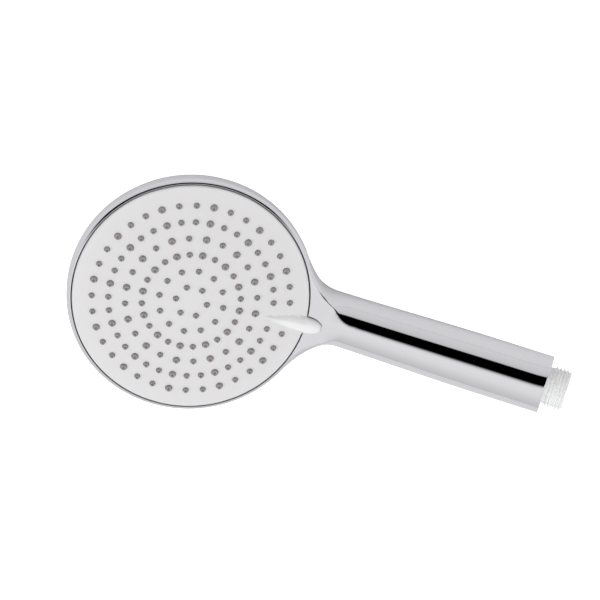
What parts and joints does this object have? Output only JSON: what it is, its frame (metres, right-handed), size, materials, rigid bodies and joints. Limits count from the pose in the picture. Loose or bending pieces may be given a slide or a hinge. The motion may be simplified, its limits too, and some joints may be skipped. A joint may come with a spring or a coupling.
{
  "type": "handheld shower head",
  "caption": "Round hand shower with a turning spray face, silicone nozzles, a tilted tubular handle, a threaded inlet and a check-valve cartridge in its mouth.",
  "frame": {"origin": "on the surface that the back of the head lies on, below the middle of the outline", "axes": "+Z along the spray face's outward normal, +X from the head towards the inlet, Y across the handle"},
  "size_m": [0.2553, 0.1228, 0.0646],
  "materials": {
    "chrome_shell": "bright chrome plating on ABS",
    "white_face": "gloss moulded ABS, white",
    "nozzle_silicone": "matt silicone, grey",
    "white_acetal": "moulded acetal, white, satin",
    "white_abs": "moulded ABS, white, satin",
    "ivory_abs": "moulded ABS, natural, satin",
    "black_acetal": "moulded acetal, black, satin",
    "black_rubber": "EPDM rubber, black",
    "grey_rubber": "EPDM sheet rubber, dark grey",
    "stainless": "stainless steel, drawn and turned"
  },
  "bodies": {
    "body": {"body_shell": "chrome_shell", "water_tube": "white_acetal", "tube_orings": "black_rubber", "diverter_seat": "ivory_abs", "seat_screws": "stainless", "port_seal": "grey_rubber", "port_spring": "stainless", "hub_oring": "black_rubber", "hub_washer": "stainless", "hub_screw": "stainless", "detent_spring": "stainless"},
    "spray_face": {"port_disc": "white_acetal", "channel_gasket": "grey_rubber", "chamber_plate": "white_abs", "chamber_screws": "stainless", "nozzle_mat": "nozzle_silicone", "face_plate": "white_face"},
    "detent": {"detent_plunger": "white_acetal"},
    "cartridge": {"valve_sleeve": "black_acetal", "valve_oring": "black_rubber", "valve_guide": "white_acetal", "valve_spring": "stainless"},
    "poppet": {"valve_poppet": "white_acetal", "poppet_seal": "black_rubber"}
  },
  "joints": [
    {"name": "selector_turn", "type": "hinge", "parent": "body", "child": "spray_face", "pos_m": [-0.06639, 0, 0.0314], "axis": [0, 0, 1], "range_deg": [-30, 30]},
    {"name": "detent_travel", "type": "slide", "parent": "body", "child": "detent", "axis": [0, 0, 1], "range_m": [0, 0.0005], "stiffness_N_per_m": 300, "deforming": ["detent_spring"]},
    {"name": "cartridge_pull", "type": "slide", "parent": "body", "child": "cartridge", "axis": [0.9563, 0, 0.2924], "range_m": [0, 0.03]},
    {"name": "poppet_travel", "type": "slide", "parent": "cartridge", "child": "poppet", "axis": [-0.9563, 0, -0.2924], "range_m": [0, 0.003], "stiffness_N_per_m": 150, "springref_m": -0.003, "deforming": ["valve_spring"]}
  ]
}
